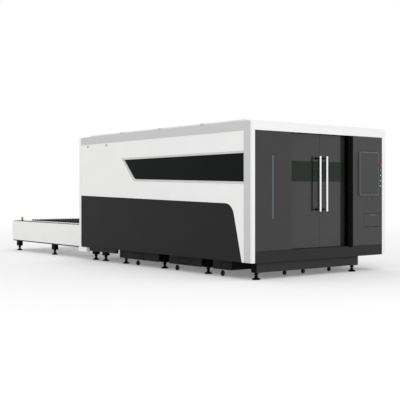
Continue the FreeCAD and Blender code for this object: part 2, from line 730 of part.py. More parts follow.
def push_buttons():
    """Four sprung buttons, each a stem with a domed metal cap."""
    for index in range(1, 5):
        profile = [
            ("0", "-button_deep"), ("button_dia/2", "-button_deep"), ("button_dia/2", "cap_proud - 2"),
            ("button_dia/2 - 2", "cap_proud"), ("0", "cap_proud + 1"),
        ]
        keep(turned(profile, (BUTTON_X, COVER, button_height(index)), TO_FRONT), f"push_button_{index}")


def emergency_stop():
    """Mushroom head on its stem: the foremost point of the machine."""
    proud = "(front_proud + cover_set)"
    profile = [
        ("0", "-button_deep"), ("button_dia/2", "-button_deep"), ("button_dia/2", f"{proud} - 19"),
        ("stop_dia/2 - 2", f"{proud} - 17"), ("stop_dia/2", f"{proud} - 12"),
        ("stop_dia/2 - 4", f"{proud} - 2"), ("stop_dia/4", proud), ("0", proud),
    ]
    keep(turned(profile, (BUTTON_X, COVER, button_height(0)), TO_FRONT), "emergency_stop")


def keyboard_flap():
    """Flap that folds out as the keyboard shelf, turning on a pin at each end of its lower edge."""
    x = (f"{FLAP_X[0]} + seam", f"{FLAP_X[1]} - seam")
    y = (COVER, f"{COVER} + flap_thick")
    body = prism("x", x[0], x[1], [rectangle(y, ("flap_low + seam", "flap_high - seam"))])
    soften(body, "x", [(side, "flap_low + seam") for side in y], "flap_thick/2 - 0.1")
    pins = [rod("x", (f"{near} - pin_long/2", FLAP_HINGE[0], FLAP_HINGE[1]), "pin_dia/2", "pin_long")
            for near in x]
    keep(fuse([body] + pins), "keyboard_flap")


# ---- doors ----
DOOR = back("door_set")
TRACK_Y = (back("(beam_front - track_deep)"), back("beam_front"))
TRACK_Z = (f"({BAND} + 80)", f"({BAND} + 80 + track_high)")
MIDDLE = "(seam/2)"


def leaf_span(side):
    """Low and high X of a door leaf: from behind its jamb to the middle."""
    if side == "left":
        return f"({across('door_left_edge')} - leaf_lap)", f"(-{MIDDLE})"
    return MIDDLE, f"({STRIP_X[0]} + leaf_lap)"


def door_leaf(side):
    """Folded leaf with an opening behind its pane, hung from two roller blocks."""
    x = leaf_span(side)
    body = pan("y", DOOR, f"{DOOR} + leaf_thick", rectangle(x, ("leaf_low", "leaf_high")),
               f"{DOOR} + leaf_thick")
    hole = box((f"{x[0]} + pane_frame", f"{x[1]} - pane_frame"), (f"{DOOR} - 1", f"{DOOR} + sheet_wall + 1"),
               ("pane_low + pane_frame", "pane_high - pane_frame"))
    hangers = []
    for at in (f"{x[0]} + hanger_in", f"{x[1]} - hanger_in"):
        y = f"({TRACK_Y[0]} + track_deep/2)"
        hangers.append(rod("z", (at, y, "leaf_high - 1"), "hanger_dia/2",
                           f"{TRACK_Z[0]} + track_wall + run_gap + 2 - leaf_high"))
        hangers.append(box((f"{at} - roller_long/2", f"{at} + roller_long/2"),
                           (f"{y} - roller_wide/2", f"{y} + roller_wide/2"),
                           (f"{TRACK_Z[0]} + track_wall + run_gap",
                            f"{TRACK_Z[1]} - track_wall - run_gap")))
    keep(fuse([cut(body, hole)] + hangers), f"door_leaf_{side}")
    pane = prism("y", f"{DOOR} - pane_thick", DOOR, [rectangle((f"{x[0]} + 2", f"{x[1]} - 2"),
                 ("pane_low", "pane_high"))], "pane")
    keep(pane, f"door_glass_{side}")


def door_handle(side):
    """Upright tube on two flanged arms near the middle of the doors."""
    sign = -1 if side == "left" else 1
    x = f"({sign}*handle_apart/2)"
    y = f"({DOOR} - handle_off)"
    tube = rod("z", (x, y, "handle_low"), "handle_dia/2", "handle_high - handle_low")
    parts = [tube]
    for z in ("handle_low + handle_arm_in", "handle_high - handle_arm_in"):
        parts.append(rod("y", (x, y, z), "handle_arm_dia/2", "handle_off"))
        parts.append(rod("y", (x, f"{DOOR} - handle_flange", z), "handle_flange_dia/2", "handle_flange"))
    keep(fuse(parts), f"door_handle_{side}")


def door_track():
    """Lipped channel above the leaves that their roller blocks hang in."""
    x = (across("side_frame_thick + tube + 4"), f"({RIGHT} - side_frame_thick - tube - 4)")
    ends = (f"{x[0]} - 1", f"{x[1]} + 1")
    inside = box(ends, (f"{TRACK_Y[0]} + track_wall", f"{TRACK_Y[1]} - track_wall"),
                 (f"{TRACK_Z[0]} + track_wall", f"{TRACK_Z[1]} - track_wall"))
    middle = f"({TRACK_Y[0]} + track_deep/2)"
    slot = box(ends, (f"{middle} - hanger_dia/2 - 2", f"{middle} + hanger_dia/2 + 2"),
               (f"{TRACK_Z[0]} - 1", f"{TRACK_Z[0]} + track_wall + 1"))
    keep(cut(box(x, TRACK_Y, TRACK_Z), inside, slot), "door_track")


# ---- cutting axes ----
def rail_x(sign):
    return f"({BED} + {sign}*(bed_half - beam_wide/2))"


def gantry_rails():
    """Linear rail on top of each bed beam."""
    rails = []
    for sign in (-1, 1):
        x = rail_x(sign)
        rails.append(box((f"{x} - rail_wide/2", f"{x} + rail_wide/2"),
                         (back("rail_front"), back("rail_rear")), ("beam_high", "beam_high + rail_high")))
    keep(group(rails), "gantry_rails")


GANTRY = back("gantry_at")
GANTRY_LOW = "(beam_high + saddle_high)"


def gantry_saddles():
    """Runner block astride each rail, with a running gap all round it."""
    saddles = []
    for sign in (-1, 1):
        x = rail_x(sign)
        y = (f"{GANTRY} - saddle_long/2", f"{GANTRY} + saddle_long/2")
        block = box((f"{x} - saddle_wide/2", f"{x} + saddle_wide/2"), y,
                    ("beam_high + 6", GANTRY_LOW))
        groove = box((f"{x} - rail_wide/2 - run_gap", f"{x} + rail_wide/2 + run_gap"),
                     (f"{y[0]} - 1", f"{y[1]} + 1"), ("beam_high", "beam_high + rail_high + run_gap"))
        saddles.append(cut(block, groove))
    keep(group(saddles), "gantry_saddles")


CROSS_RAILS = ("(beam_high + saddle_high + 50)", "(beam_high + saddle_high + gantry_high - 84)")
GANTRY_FACE = f"({GANTRY} - gantry_deep/2)"


def gantry_beam():
    """Box beam across both saddles with two linear rails on its front face."""
    x = (f"{rail_x(-1)} - saddle_wide/2", f"{rail_x(1)} + saddle_wide/2")
    y = (GANTRY_FACE, f"{GANTRY} + gantry_deep/2")
    z = (GANTRY_LOW, f"{GANTRY_LOW} + gantry_high")
    inside = box((f"{x[0]} - 1", f"{x[1]} + 1"), (f"{y[0]} + gantry_wall", f"{y[1]} - gantry_wall"),
                 (f"{z[0]} + gantry_wall", f"{z[1]} - gantry_wall"))
    rails = [box(x, (f"{GANTRY_FACE} - cross_rail/2", GANTRY_FACE), (low, f"{low} + cross_rail"))
             for low in CROSS_RAILS]
    keep(fuse([cut(box(x, y, z), inside)] + rails), "gantry_beam")


CARRIAGE_FACE = f"({GANTRY_FACE} - run_gap - carriage_thick)"


def carriage():
    """Plate that runs along the beam's rails and guides the cutting head."""
    x = (f"{BED} - carriage_wide/2", f"{BED} + carriage_wide/2")
    plate = box(x, (CARRIAGE_FACE, f"{CARRIAGE_FACE} + carriage_thick"), ("carriage_low", "carriage_high"))
    grooves = [box((f"{x[0]} - 1", f"{x[1]} + 1"),
                   (f"{GANTRY_FACE} - cross_rail/2 - run_gap", GANTRY_FACE),
                   (f"{low} - run_gap", f"{low} + cross_rail + run_gap")) for low in CROSS_RAILS]
    keep(cut(plate, *grooves), "carriage")


def cutting_head():
    """Sliding plate with the round head on it, tapering to the nozzle."""
    y = (f"{CARRIAGE_FACE} - run_gap - head_plate", f"{CARRIAGE_FACE} - run_gap")
    plate = box((f"{BED} - head_wide/2", f"{BED} + head_wide/2"), y, ("head_low", "head_high"))
    axis = f"({y[0]} - head_dia/2 + 6)"
    profile = [
        ("0", "nozzle_tip"), ("4", "nozzle_tip"), ("nozzle_dia/2", "nozzle_tip + 18"),
        ("nozzle_dia/2", "nozzle_tip + 36"), ("head_dia/2", "nozzle_tip + 36 + head_taper"),
        ("head_dia/2", "head_high"), ("0", "head_high"),
    ]
    keep(fuse([plate, turned(profile, (BED, axis, "0"))]), "cutting_head")


# ---- pallets and their shelves ----
SHIFT = 3920
LEVELS = {"upper": ("upper_top", "pallet_rear"),
          "lower": ("(upper_top - level_step)", f"(pallet_rear - {SHIFT})")}


def pallet_frame(name, top, rear):
    """Two side tubes with five cross tubes welded between them."""
    z = (f"{top} - slat_up - pallet_deep", f"{top} - slat_up")
    y = (back(f"({rear} - pallet_long)"), back(f"({rear})"))
    half = "pallet_half"
    tubes = [box((f"{BED} - {half}", f"{BED} - {half} + pallet_tube"), y, z),
             box((f"{BED} + {half} - pallet_tube", f"{BED} + {half}"), y, z)]
    for i in range(5):
        near = f"({y[0]} + {i}*(pallet_long - pallet_tube)/4)"
        tubes.append(box((f"{BED} - {half} + pallet_tube", f"{BED} + {half} - pallet_tube"),
                         (near, f"{near} + pallet_tube"), (z[0], f"{z[1]} - slat_high + slat_up")))
    keep(group(tubes), f"pallet_{name}_frame")


def pallet_slats(name, top, rear):
    """Upright slats across the pallet that carry the sheet."""
    slats = []
    half = "(pallet_half - pallet_tube)"
    for i in range(int(number("slat_count"))):
        y = back(f"({rear} - pallet_long + pallet_long*({i} + 0.5)/slat_count)")
        slats.append(box((f"{BED} - {half} + run_gap", f"{BED} + {half} - run_gap"),
                         (f"{y} - slat_thick/2", f"{y} + slat_thick/2"), (f"{top} - slat_high", top)))
    keep(group(slats), f"pallet_{name}_slats")


def pallet_rails():
    """Shelf along each side for the upper and the lower pallet, one from bed to table end."""
    shelves = []
    for top, _ in LEVELS.values():
        z_top = f"{top} - slat_up - pallet_deep - run_gap"
        for sign in (-1, 1):
            wall = f"({BED} + {sign}*(bed_half - beam_wide))"
            inner = f"({BED} + {sign}*(pallet_half - shelf_lap))"
            x = (wall, inner) if sign < 0 else (inner, wall)
            shelves.append(box(x, (back("shelf_front"), back("shelf_rear")),
                               (f"{z_top} - shelf_thick", z_top)))
    keep(group(shelves), "pallet_rails")


# ---- exchange table ----
def table_side(sign, depth_from="0", depth_to="table_beam"):
    outer = f"({BED} + {sign}*(table_half - ({depth_from})))"
    inner = f"({BED} + {sign}*(table_half - ({depth_to})))"
    return (outer, inner) if sign < 0 else (inner, outer)


def table_frame():
    """Two hollow side beams with bearing bores, and cross tubes under the pallets."""
    parts = []
    y = (back("table_front"), back("table_rear"))
    for sign in (-1, 1):
        x = table_side(sign)
        z = ("table_low", "table_high")
        inside = box((f"{x[0]} + table_wall", f"{x[1]} - table_wall"),
                     (f"{y[0]} - 1", f"{y[1]} - table_wall"), ("table_low + table_wall", "table_high - table_wall"))
        inner = table_side(sign, "table_beam - table_wall", "table_beam")
        bore = rod("x", (f"{inner[0]} - 1", back("shaft_at"), "shaft_high"),
                   "shaft_dia/2 + shaft_gap", "table_wall + 2")
        parts.append(cut(box(x, y, z), inside, bore))
    for depth in ("table_front", "5650", "6900", "table_rear - 60"):
        near = back(f"({depth})")
        parts.append(box((table_side(-1)[1], table_side(1)[0]), (near, f"{near} + 60"),
                         ("table_low", "table_low + 60")))
    keep(group(parts), "table_frame")


def table_covers():
    """White folded covers on both sides and the end of the table."""
    covers = []
    y = (back("(case_long + 2)"), back("(table_rear + 1)"))
    for sign in (-1, 1):
        outer = f"({BED} + {sign}*cover_out)"
        inner = f"({BED} + {sign}*(cover_out - cover_thick))"
        x = (outer, inner) if sign < 0 else (inner, outer)
        covers.append(pan("x", *x, rectangle(y, ("cover_low", "cover_high")), inner))
    end = (back("(table_rear + 1)"), f"({FRONT} + total_long - front_proud)")
    outline = rectangle((f"{BED} - cover_out", f"{BED} + cover_out"), ("cover_low", "cover_high"))
    covers.append(pan("y", *end, outline, end[0]))
    keep(group(covers), "table_covers")


def table_caps():
    """Light guide cap along the top of each side beam."""
    caps = []
    for sign in (-1, 1):
        x = table_side(sign, "(24 + strip_wide)", "(24 + strip_wide + cap_wide)")
        body = prism("y", back("(case_long + 2)"), back("table_rear"),
                     [rectangle(x, ("table_high", "table_high + cap_high"))])
        tops = [(side, "table_high + cap_high") for side in x]
        caps.append(soften(body, "y", tops, "6"))
    keep(group(caps), "table_caps")


def table_lamps():
    """Warning lamp on a dark stem at each side of the table."""
    profile = [
        ("0", "0"), ("lamp_stem_dia/2", "0"), ("lamp_stem_dia/2", "lamp_stem"),
        ("lamp_dia/2", "lamp_stem + 6"), ("lamp_dia/2", "lamp_high - 14"),
        ("lamp_dia/2 - 8", "lamp_high - 3"), ("0", "lamp_high"),
    ]
    lamps = []
    for sign in (-1, 1):
        x = table_side(sign, "(20 + strip_wide/2)")[0 if sign < 0 else 1]
        lamps.append(turned(profile, (x, back("lamp_at"), "table_high")))
    keep(group(lamps), "table_lamps")


def drive_shaft():
    """Exchange drive shaft with a chain wheel near each end, running in the side beams."""
    x = (f"{table_side(-1)[1]} - table_wall", f"{table_side(1)[0]} + table_wall")
    shaft = rod("x", (x[0], back("shaft_at"), "shaft_high"), "shaft_dia/2", f"{x[1]} - {x[0]}")
    wheels = [rod("x", (near, back("shaft_at"), "shaft_high"), "sprocket_dia/2", "sprocket_wide")
              for near in (f"{x[0]} + 40", f"{x[1]} - 40 - sprocket_wide")]
    keep(fuse([shaft] + wheels), "drive_shaft")


def electrical_cabinet():
    """Steel cabinet on the right side's outriggers for the laser source and drives."""
    x = ("cabinet_left", "cabinet_left + cabinet_wide")
    y = (back("cabinet_front"), back("(cabinet_front + cabinet_long)"))
    z = ("tube_low + tube", "cabinet_high")
    keep(pan("x", *x, rectangle(y, z), x[1]), "electrical_cabinet")


def build():
    bed_beams()
    bed_cross_beams()
    bed_plates()
    feet()
    for name, tray in TRAYS.items():
        scrap_tray(name, tray["apron"], tray["tub"])
        tray_casters(name, tray["casters"])
    enclosure_frame()
    front_portal()
    side_frames()
    rear_portal()
    rear_wall()
    roof_panels()
    roof_lugs()
    side_panels("left", -1)
    side_panels("right", 1)
    window()
    front_fixed_panel()
    light_strip()
    front_skirt()
    black_trim()
    control_panel()
    operator_screen()
    button_collars()
    push_buttons()
    emergency_stop()
    keyboard_flap()
    for side in ("left", "right"):
        door_leaf(side)
        door_handle(side)
    door_track()
    gantry_rails()
    gantry_saddles()
    gantry_beam()
    carriage()
    cutting_head()
    for name, (top, rear) in LEVELS.items():
        pallet_frame(name, top, rear)
        pallet_slats(name, top, rear)
    pallet_rails()
    table_frame()
    table_covers()
    table_caps()
    table_lamps()
    drive_shaft()
    electrical_cabinet()


def write():
    """Check every object and each sub-part, then write one STEP file for each."""
    doc.recompute()
    faulty = [item.Label for item in doc.Objects if {"Invalid", "Error"} & set(item.State)]
    faulty += [node.Label for node in NODES if node.Shape.isNull() or not node.Shape.isValid()]
    if faulty:
        raise SystemExit(f"these objects failed: {faulty}")
    os.makedirs("parts", exist_ok=True)
    for node in NODES:
        node.Shape.exportStep(f"parts/{node.Label}.step")
    print(len(NODES), "sub-parts")


build()
write()
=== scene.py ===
"""Looks of the enclosed laser sheet cutter: paints, steels, glass and the small pieces that the
frame leaves out. Metres, in the frame's own axes: +X right across the front, +Y back, +Z up."""
import math

import bmesh
import bpy
import numpy as np
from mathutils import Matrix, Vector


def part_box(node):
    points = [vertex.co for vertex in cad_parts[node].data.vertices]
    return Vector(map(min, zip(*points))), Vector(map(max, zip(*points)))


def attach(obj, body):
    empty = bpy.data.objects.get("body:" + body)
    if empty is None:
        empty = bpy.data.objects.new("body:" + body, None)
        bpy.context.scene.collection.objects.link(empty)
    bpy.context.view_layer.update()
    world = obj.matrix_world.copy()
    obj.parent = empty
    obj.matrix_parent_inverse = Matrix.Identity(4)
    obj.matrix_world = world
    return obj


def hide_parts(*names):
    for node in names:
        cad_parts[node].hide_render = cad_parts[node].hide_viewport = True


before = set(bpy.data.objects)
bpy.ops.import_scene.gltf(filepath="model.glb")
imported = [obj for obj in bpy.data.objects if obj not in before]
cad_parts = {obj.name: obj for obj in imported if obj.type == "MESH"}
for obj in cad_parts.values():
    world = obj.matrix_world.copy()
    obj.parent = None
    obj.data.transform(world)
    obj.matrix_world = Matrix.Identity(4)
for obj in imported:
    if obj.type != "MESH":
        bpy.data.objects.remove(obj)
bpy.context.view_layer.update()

MM = 0.001
TURN = 2 * math.pi
SAME_POINT = 1e-6
SHARP_ANGLE = math.radians(35)


# ---------------------------------------------------------------- where things are
def low(node, axis):
    """Least coordinate of a node along an axis."""
    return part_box(node)[0][axis]


def high(node, axis):
    """Greatest coordinate of a node along an axis."""
    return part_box(node)[1][axis]


def middle(node, axis):
    """Half way between a node's ends along an axis."""
    return (low(node, axis) + high(node, axis)) / 2


def corners_of(node):
    """Every corner of a node's mesh, one row each."""
    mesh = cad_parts[node].data
    corners = np.zeros(len(mesh.vertices) * 3, np.float32)
    mesh.vertices.foreach_get("co", corners)
    return corners.reshape(-1, 3)


def runs(values, gap):
    """(low, high) of each run of sorted values, split wherever a gap is wider."""
    values = np.unique(values.round(5))
    breaks = np.flatnonzero(np.diff(values) > gap)
    starts = np.concatenate([[0], breaks + 1])
    ends = np.concatenate([breaks, [len(values) - 1]])
    return [(float(values[a]), float(values[b])) for a, b in zip(starts, ends)]


def clusters(node, axis, gap):
    """Runs of a node's corners along an axis."""
    return runs(corners_of(node)[:, axis], gap)


def spots(node, gap):
    """Middle in X and Y of each separate lump of a node."""
    corners = corners_of(node)
    found = []
    for x0, x1 in runs(corners[:, 0], gap):
        inside = (corners[:, 0] > x0 - MM) & (corners[:, 0] < x1 + MM)
        found += [((x0 + x1) / 2, (y0 + y1) / 2) for y0, y1 in runs(corners[inside, 1], gap)]
    return found


FRONT = low("front_portal", 1)


# ---------------------------------------------------------------- surfaces
def ring_faces(rings, around):
    """Quads of a grid of rings whose last point joins its first."""
    i, j = np.meshgrid(np.arange(rings - 1), np.arange(around), indexing="ij")
    following = (j + 1) % around
    quads = [i * around + j, i * around + following, (i + 1) * around + following, (i + 1) * around + j]
    return np.stack(quads, axis=-1).reshape(-1, 4)


def tube(rings):
    """Rings of points, stacked as an array (ring, point, xyz), skinned and capped at both ends."""
    rings = np.asarray(rings, float)
    count, around = rings.shape[:2]
    faces = ring_faces(count, around).tolist()
    faces.append(list(range(around))[::-1])
    faces.append([(count - 1) * around + k for k in range(around)])
    return rings.reshape(-1, 3), faces


def joined(parts):
    """Several (points, faces) skins as one."""
    points, faces, start = [], [], 0
    for verts, quads in parts:
        points.append(verts)
        faces += [[start + k for k in face] for face in quads]
        start += len(verts)
    return np.concatenate(points), faces


def circle(count, phase=0.0):
    """Unit circle: cosine and sine of even turns."""
    turn = (np.arange(count) / count + phase) * TURN
    return np.stack([np.cos(turn), np.sin(turn)], axis=-1)


def rounded(width, height, radius, count=6):
    """Rectangle with quarter-circle corners: each corner's centre plus radius times the circle."""
    quarter = np.linspace(0, math.pi / 2, count)
    corners = []
    for k, (sx, sy) in enumerate(((1, 1), (-1, 1), (-1, -1), (1, -1))):
        turn = quarter + k * math.pi / 2
        centre = np.array([sx * (width / 2 - radius), sy * (height / 2 - radius)])
        corners.append(centre + radius * np.stack([np.cos(turn), np.sin(turn)], axis=-1))
    return np.concatenate(corners)


AXES = {
    "x": ((0, 1, 0), (0, 0, 1), (1, 0, 0)),
    "-x": ((0, -1, 0), (0, 0, 1), (-1, 0, 0)),
    "y": ((-1, 0, 0), (0, 0, 1), (0, 1, 0)),
    "-y": ((1, 0, 0), (0, 0, 1), (0, -1, 0)),
    "z": ((1, 0, 0), (0, 1, 0), (0, 0, 1)),
}


def stacked(outline, steps, at, axis):
    """An outline carried along an axis: each step is (distance, scale or inset outline)."""
    across_dir, up_dir, along_dir = (np.array(v, float) for v in AXES[axis])
    rings = []
    for distance, shape in steps:
        flat = outline * shape if np.isscalar(shape) else shape
        rings.append(np.asarray(at, float) + flat[:, :1] * across_dir + flat[:, 1:] * up_dir
                     + distance * along_dir)
    return tube(np.array(rings))


def turned(profile, at, axis, count=32, phase=0.0):
    """Profile of (distance, radius) pairs turned about an axis."""
    return stacked(circle(count, phase), profile, at, axis)


def plate(width, height, radius, thick, at, axis, bevel=0.5 * MM):
    """Rounded plate with a chamfer round its outer face."""
    full = rounded(width, height, radius)
    inner = rounded(width - 2 * bevel, height - 2 * bevel, max(radius - bevel, bevel))
    return stacked(None, [(0, full), (thick - bevel, full), (thick, inner)], at, axis)


def block(x, y, z):
    """Plain bar between two corners with its edges eased."""
    size = [b - a for a, b in (x, y, z)]
    ease = min(size) * 0.12
    outline = rounded(size[0], size[1], ease, 3)
    inner = rounded(size[0] - 2 * ease, size[1] - 2 * ease, ease / 2, 3)
    at = ((x[0] + x[1]) / 2, (y[0] + y[1]) / 2, z[0])
    steps = [(0, inner), (ease, outline), (size[2] - ease, outline), (size[2], inner)]
    return stacked(None, steps, at, "z")


def carried(profile, path, sideways):
    """A closed profile (across, up) carried along a path, kept square to it."""
    path = np.asarray(path, float)
    ahead = np.gradient(path, axis=0)
    ahead /= np.linalg.norm(ahead, axis=1, keepdims=True)
    side = np.broadcast_to(np.asarray(sideways, float), path.shape)
    up = np.cross(side, ahead)
    up /= np.linalg.norm(up, axis=1, keepdims=True)
    rings = (path[:, None] + profile[None, :, :1] * side[:, None] + profile[None, :, 1:] * up[:, None])
    return tube(rings)


def piece(name, skin, finish, body, smooth=False, stands_for=()):
    """Put a skin into an object, face it outwards and let it ride a body."""
    points, faces = skin
    mesh = bpy.data.meshes.new(name)
    mesh.from_pydata(points.tolist(), [], faces)
    work = bmesh.new()
    work.from_mesh(mesh)
    bmesh.ops.remove_doubles(work, verts=work.verts, dist=SAME_POINT)
    bmesh.ops.recalc_face_normals(work, faces=work.faces)
    work.to_mesh(mesh)
    work.free()
    if smooth:
        mesh.polygons.foreach_set("use_smooth", [True] * len(mesh.polygons))
        mesh.set_sharp_from_angle(angle=SHARP_ANGLE)
    mesh.materials.append(finish)
    thing = bpy.data.objects.new(name, mesh)
    bpy.context.scene.collection.objects.link(thing)
    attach(thing, body)
    if stands_for:
        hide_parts(*stands_for)
    return thing


# ---------------------------------------------------------------- finishes
def shade(value, factor):
    """A colour made darker or lighter, with its alpha."""
    return tuple(min(1.0, channel * factor) for channel in value) + (1.0,)


def finish(name, colour, rough, metal=0.0, mottle=0.06, mottle_scale=3.0, grain=180.0,
           bump=0.02, stretch=(1, 1, 1), spread=0.05, specular=0.5, **sockets):
    """Colour mottled by broad noise, roughness varied by fine noise, and fine noise as relief."""
    material = bpy.data.materials.new(name)
    material.use_nodes = True
    nodes, links = material.node_tree.nodes, material.node_tree.links
    shader = nodes["Principled BSDF"]
    place = nodes.new("ShaderNodeTexCoord")
    scale = nodes.new("ShaderNodeMapping")
    scale.inputs["Scale"].default_value = stretch
    links.new(place.outputs["Object"], scale.inputs["Vector"])
    broad = nodes.new("ShaderNodeTexNoise")
    broad.inputs["Scale"].default_value = mottle_scale
    broad.inputs["Detail"].default_value = 4
    fine = nodes.new("ShaderNodeTexNoise")
    fine.inputs["Scale"].default_value = grain
    fine.inputs["Detail"].default_value = 2
    for noise in (broad, fine):
        links.new(scale.outputs["Vector"], noise.inputs["Vector"])
    tones = nodes.new("ShaderNodeValToRGB")
    tones.color_ramp.elements[0].position = 0.3
    tones.color_ramp.elements[1].position = 0.7
    tones.color_ramp.elements[0].color = shade(colour, 1 - mottle)
    tones.color_ramp.elements[1].color = shade(colour, 1 + mottle)
    links.new(broad.outputs["Fac"], tones.inputs["Fac"])
    links.new(tones.outputs["Color"], shader.inputs["Base Color"])
    sheen = nodes.new("ShaderNodeMapRange")
    sheen.inputs["To Min"].default_value = max(rough - spread, 0.02)
    sheen.inputs["To Max"].default_value = min(rough + spread, 1.0)
    links.new(fine.outputs["Fac"], sheen.inputs["Value"])
    links.new(sheen.outputs["Result"], shader.inputs["Roughness"])
    relief = nodes.new("ShaderNodeBump")
    relief.inputs["Strength"].default_value = bump
    relief.inputs["Distance"].default_value = 0.001
    links.new(fine.outputs["Fac"], relief.inputs["Height"])
    links.new(relief.outputs["Normal"], shader.inputs["Normal"])
    shader.inputs["Metallic"].default_value = metal
    shader.inputs["Specular IOR Level"].default_value = specular
    for socket, value in sockets.items():
        shader.inputs[socket.replace("_", " ")].default_value = value
    return material


def two_tone(material, colour, axis, edge, soft=0.002):
    """Repaint everything short of an edge along an axis, such as the stem under a lens or the painted
    light on the front of the base plates.
    """
    nodes, links = material.node_tree.nodes, material.node_tree.links
    shader = nodes["Principled BSDF"]
    upper = shader.inputs["Base Color"].links[0].from_socket
    place = next(node for node in nodes if node.type == "TEX_COORD")
    parts = nodes.new("ShaderNodeSeparateXYZ")
    links.new(place.outputs["Object"], parts.inputs["Vector"])
    step = nodes.new("ShaderNodeMapRange")
    step.inputs["From Min"].default_value = edge - soft
    step.inputs["From Max"].default_value = edge + soft
    links.new(parts.outputs[axis], step.inputs["Value"])
    mix = nodes.new("ShaderNodeMix")
    mix.data_type = "RGBA"
    links.new(step.outputs["Result"], mix.inputs["Factor"])
    colours = [socket for socket in mix.inputs if socket.type == "RGBA"]
    colours[0].default_value = (*colour, 1)
    links.new(upper, colours[1])
    links.new(next(s for s in mix.outputs if s.type == "RGBA"), shader.inputs["Base Color"])
    return material


WHITE = finish("white_paint", (0.765, 0.765, 0.752), 0.42, mottle=0.012, grain=260, bump=0.015,
               specular=0.25)
ROOF_WHITE = finish("roof_paint", (0.84, 0.84, 0.83), 0.5, mottle=0.02, grain=240, bump=0.02,
                    specular=0.3)
FRAME_WHITE = finish("frame_paint", (0.775, 0.775, 0.77), 0.38, mottle=0.012, grain=260, bump=0.015,
                     specular=0.25)
GREY = finish("grey_paint", (0.507, 0.512, 0.512), 0.42, mottle=0.015, grain=260, bump=0.015,
              specular=0.3)
# Window rim grey: painted shade, the bevel round the side window painted darker to stand for the
# shading it falls in.
RIM_PAINTED_SHADE = finish("window_rim_painted_shade", (0.52, 0.54, 0.53), 0.35, mottle=0.02, grain=240, bump=0.02)
TABLE_WHITE = finish("table_paint", (0.775, 0.775, 0.765), 0.45, mottle=0.02, grain=230, bump=0.02,
                     specular=0.25)
DOOR = finish("door_paint", (0.021, 0.021, 0.021), 0.12, mottle=0.05, grain=300, bump=0.004,
              spread=0.02)
FIXED = finish("fixed_panel_paint", (0.034, 0.035, 0.034), 0.3, mottle=0.05, grain=300, bump=0.01,
               specular=0.22)
SKIRT = finish("skirt_paint", (0.020, 0.020, 0.020), 0.42, mottle=0.06, grain=280, bump=0.015,
               specular=0.14)
SIDE_DARK = finish("side_dark_paint", (0.0145, 0.0142, 0.0142), 0.45, mottle=0.06, grain=280,
                   bump=0.015, specular=0.08)
CONSOLE = finish("console_paint", (0.046, 0.046, 0.046), 0.4, mottle=0.05, grain=300, bump=0.015,
                 specular=0.22)
TRIM = finish("trim_gloss_black", (0.0018, 0.0018, 0.0018), 0.3, mottle=0.1, grain=200, bump=0.01,
              specular=0.02)
BED = finish("bed_paint", (0.019, 0.019, 0.019), 0.5, mottle=0.15, grain=160, bump=0.05,
             specular=0.08)
TRAY = finish("tray_paint", (0.0105, 0.0105, 0.0105), 0.48, mottle=0.12, grain=170, bump=0.04,
              specular=0.08)
BLACK = finish("bracket_paint", (0.0028, 0.0028, 0.0028), 0.45, mottle=0.2, grain=200, bump=0.04,
               specular=0.03)
CABINET = finish("cabinet_paint", (0.62, 0.61, 0.58), 0.45, mottle=0.03, grain=220, bump=0.03)
STEEL = finish("machined_steel", (0.55, 0.55, 0.56), 0.32, metal=1.0, mottle=0.08, grain=320,
               bump=0.03, stretch=(1, 0.05, 1))
FOOT = finish("blackened_foot_steel", (0.004, 0.004, 0.0045), 0.38, mottle=0.2, grain=240, bump=0.05,
              specular=0.06)
SLAT = finish("scaled_slat_steel", (0.034, 0.032, 0.031), 0.6, metal=0.6, mottle=0.35,
              mottle_scale=22, grain=260, bump=0.12, spread=0.15)
COLLAR = finish("collar_black", (0.006, 0.006, 0.006), 0.3, mottle=0.05, grain=420, bump=0.008,
                spread=0.04, specular=0.1)
PULL_TUBE_DEEP = 26 * MM
PULL = two_tone(
    finish("polished_pull_metal", (0.03, 0.03, 0.031), 0.2, metal=1.0, mottle=0.02, grain=420,
           bump=0.008, stretch=(1, 1, 0.05), spread=0.04),
    (0.86, 0.86, 0.87), "Y", low("door_handle_left", 1) + PULL_TUBE_DEEP)
GANTRY = finish("gantry_paint", (0.60, 0.63, 0.66), 0.4, mottle=0.03, grain=240, bump=0.03)
HEAD = finish("head_aluminium", (0.68, 0.68, 0.70), 0.35, metal=0.9, mottle=0.05, grain=300, bump=0.03)
BEZEL = finish("screen_bezel", (0.085, 0.086, 0.086), 0.32, mottle=0.05, grain=260, bump=0.01)
DISPLAY = finish("display_glass", (0.040, 0.042, 0.043), 0.16, mottle=0.04, mottle_scale=1.6,
                 grain=380, bump=0.002, spread=0.02, specular=0.25)
LIGHT = finish("status_light_diffuser", (0.045, 0.065, 0.085), 0.35, mottle=0.12, mottle_scale=2.2,
               grain=200, bump=0.01, Emission_Color=(0.16, 0.26, 0.36, 1), Emission_Strength=0.08)
RED = finish("stop_red", (0.42, 0.008, 0.024), 0.32, mottle=0.06, grain=260, bump=0.02)
BUTTON = finish("button_metal", (0.72, 0.72, 0.70), 0.28, metal=0.9, mottle=0.06, grain=380, bump=0.02)
GREEN_BUTTON = finish("button_green", (0.36, 0.40, 0.16), 0.35, mottle=0.06, grain=380, bump=0.02)
RUBBER = finish("caster_rubber", (0.004, 0.004, 0.004), 0.62, mottle=0.2, grain=220, bump=0.08,
                specular=0.04)
FORK = finish("caster_plate_steel", (0.025, 0.025, 0.025), 0.45, metal=0.6, mottle=0.15, grain=260,
              bump=0.04)
SEAL = finish("seal_rubber", (0.01, 0.01, 0.01), 0.55, mottle=0.2, grain=260, bump=0.05)
SIDE_GLASS = finish("side_window_glass", (0.0045, 0.0062, 0.0052), 0.09, mottle=0.05,
                    mottle_scale=0.7, grain=120, bump=0.002, spread=0.03, specular=0.04)
DOOR_GLASS = finish("door_window_glass", (0.010, 0.016, 0.011), 0.1, mottle=0.05, mottle_scale=0.9,
                    grain=120, bump=0.002, spread=0.03, specular=0.16)
LAMP_STEM_HIGH = 46 * MM
